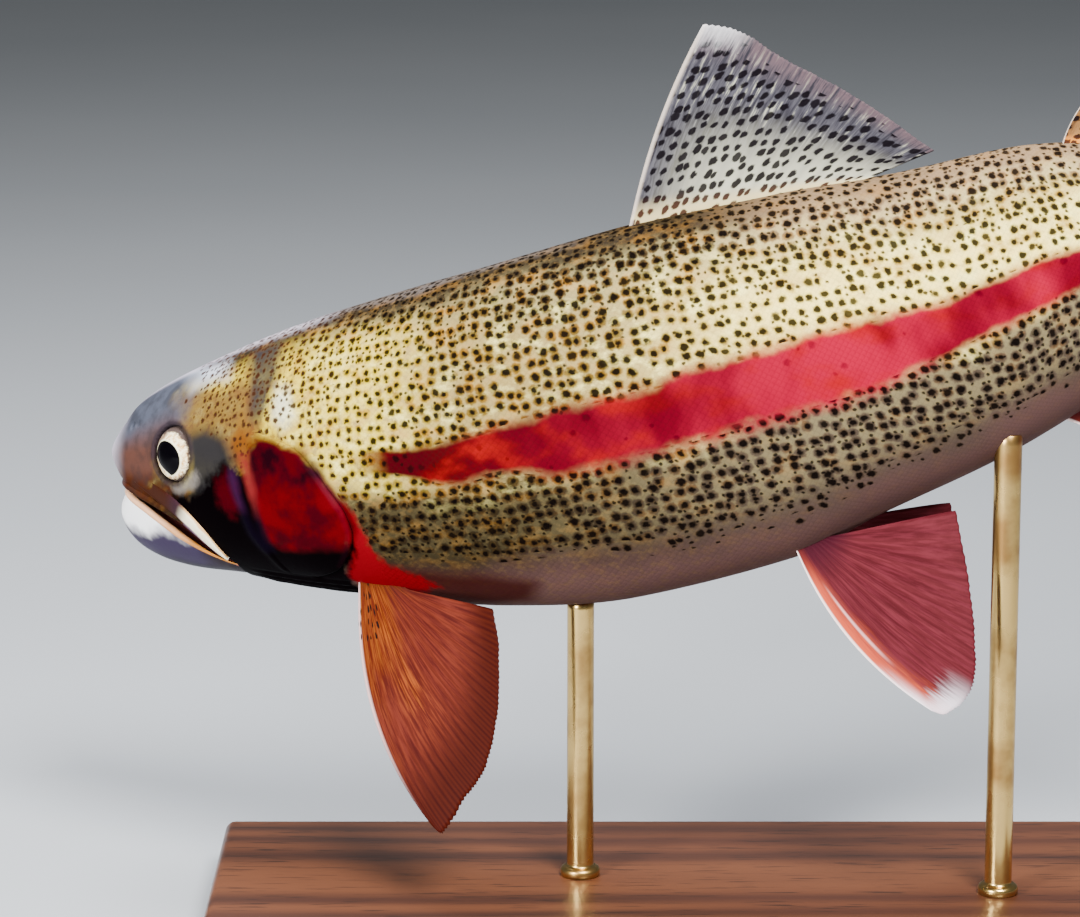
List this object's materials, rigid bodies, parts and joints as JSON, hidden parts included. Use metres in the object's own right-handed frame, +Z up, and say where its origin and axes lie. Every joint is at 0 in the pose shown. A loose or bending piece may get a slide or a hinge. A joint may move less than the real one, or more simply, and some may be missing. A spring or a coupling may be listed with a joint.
{
  "type": "rainbow trout",
  "caption": "Life-size still model of a rainbow trout in a gentle swimming curve, mouth slightly open, on a flat base with rods.",
  "frame": {"origin": "centre of the underside of the stand's base", "axes": "+Z up, the fish faces -X with its left side towards -Y"},
  "size_m": [0.4389, 0.1381, 0.299],
  "materials": {
    "head_skin": "smooth wet skin, grey snout, olive crown, dark cheek",
    "jaw_skin": "smooth white lip and jaw skin",
    "gill_cover_skin": "smooth crimson gill cover",
    "eye": "pale gold iris with a black pupil under a clear cornea",
    "body_skin": "straw and olive scales with black spots and a red side stripe",
    "spotted_fin": "translucent grey fin membrane with rows of black spots",
    "adipose_fin": "brown fleshy fin with dark spots",
    "orange_fin": "orange to red-brown fin membrane",
    "rose_fin": "rose-red fin membrane with a white leading edge",
    "stand_wood": "dark stained wood, satin lacquer",
    "stand_brass": "satin brass rod"
  },
  "bodies": {
    "root": {"head": "head_skin", "jaw_lower": "jaw_skin", "maxilla_left": "jaw_skin", "maxilla_right": "jaw_skin", "gill_cover_left": "gill_cover_skin", "gill_cover_right": "gill_cover_skin", "eye_left": "eye", "eye_right": "eye", "trunk_front": "body_skin", "trunk_rear": "body_skin", "tail_peduncle": "body_skin", "fin_dorsal": "spotted_fin", "fin_tail": "spotted_fin", "fin_adipose": "adipose_fin", "fin_pectoral_left": "orange_fin", "fin_pectoral_right": "orange_fin", "fin_pelvic_left": "rose_fin", "fin_pelvic_right": "rose_fin", "fin_anal": "rose_fin", "stand_base": "stand_wood", "stand_rod_front": "stand_brass", "stand_rod_rear": "stand_brass"}
  },
  "joints": []
}
